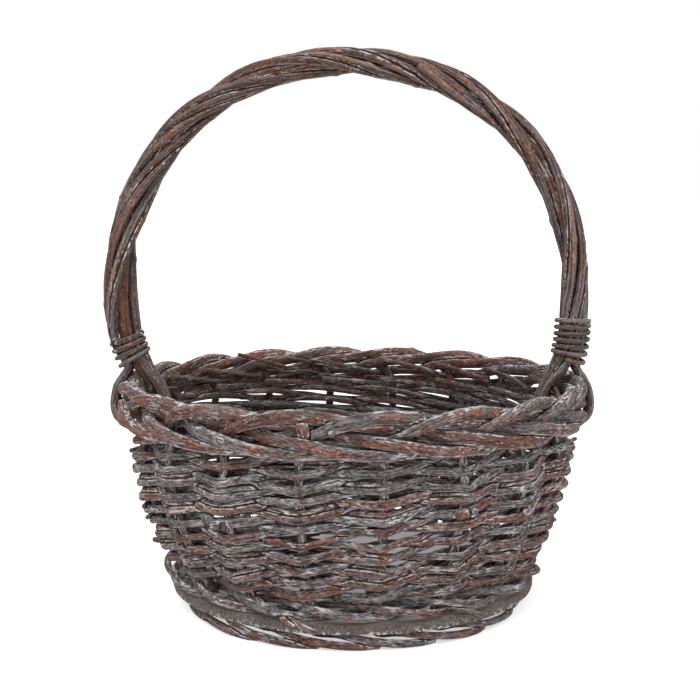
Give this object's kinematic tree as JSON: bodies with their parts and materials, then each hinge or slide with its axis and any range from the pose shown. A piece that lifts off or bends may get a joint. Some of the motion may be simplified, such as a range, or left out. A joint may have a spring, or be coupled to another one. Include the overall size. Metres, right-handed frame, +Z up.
{
  "type": "basket",
  "caption": "Round wicker basket with a flat board base, flared randed wall, rolled border, and a fixed hoop handle twisted from rods and bound to the rim at both sides.",
  "frame": {"origin": "centre of the basket on the surface it stands on, at the lowest face of the foot", "axes": "+Z up out of the mouth, X along the plane of the handle, Y from front to back with -Y the front of the picture"},
  "size_m": [0.2906, 0.2796, 0.3263],
  "materials": {
    "board": "matt fibre board, grey-washed",
    "stake_rod": "dry willow rod, brown with a chalky grey wash",
    "waling_rod": "dry willow rod, grey-brown with a chalky grey wash",
    "weaver_rod": "dry willow rod, grey-brown with a chalky grey wash",
    "handle_core": "dry willow rod, reddish brown",
    "handle_rod": "dry willow rod, brown with worn grey patches",
    "binding_rod": "thin dry willow rod, dark brown"
  },
  "bodies": {
    "root": {"base_board": "board", "stake_01": "stake_rod", "stake_02": "stake_rod", "stake_03": "stake_rod", "stake_04": "stake_rod", "stake_05": "stake_rod", "stake_06": "stake_rod", "stake_07": "stake_rod", "stake_08": "stake_rod", "stake_09": "stake_rod", "stake_10": "stake_rod", "stake_11": "stake_rod", "stake_12": "stake_rod", "stake_13": "stake_rod", "stake_14": "stake_rod", "stake_15": "stake_rod", "stake_16": "stake_rod", "stake_17": "stake_rod", "stake_18": "stake_rod", "waling_rod_1": "waling_rod", "waling_rod_2": "waling_rod", "waling_rod_3": "waling_rod", "weaver_01": "weaver_rod", "weaver_02": "weaver_rod", "weaver_03": "weaver_rod", "weaver_04": "weaver_rod", "weaver_05": "weaver_rod", "weaver_06": "weaver_rod", "weaver_07": "weaver_rod", "weaver_08": "weaver_rod", "weaver_09": "weaver_rod", "weaver_10": "weaver_rod", "weaver_11": "weaver_rod", "weaver_12": "weaver_rod", "weaver_13": "weaver_rod", "weaver_14": "weaver_rod", "weaver_15": "weaver_rod", "weaver_16": "weaver_rod", "weaver_17": "weaver_rod", "weaver_18": "weaver_rod", "handle_bow": "handle_core", "handle_rod_1": "handle_rod", "handle_rod_2": "handle_rod", "handle_rod_3": "handle_rod", "handle_rod_4": "handle_rod", "handle_rod_5": "handle_rod", "handle_rod_6": "handle_rod", "handle_rod_7": "handle_rod", "binding_left": "binding_rod", "binding_right": "binding_rod"}
  },
  "joints": []
}
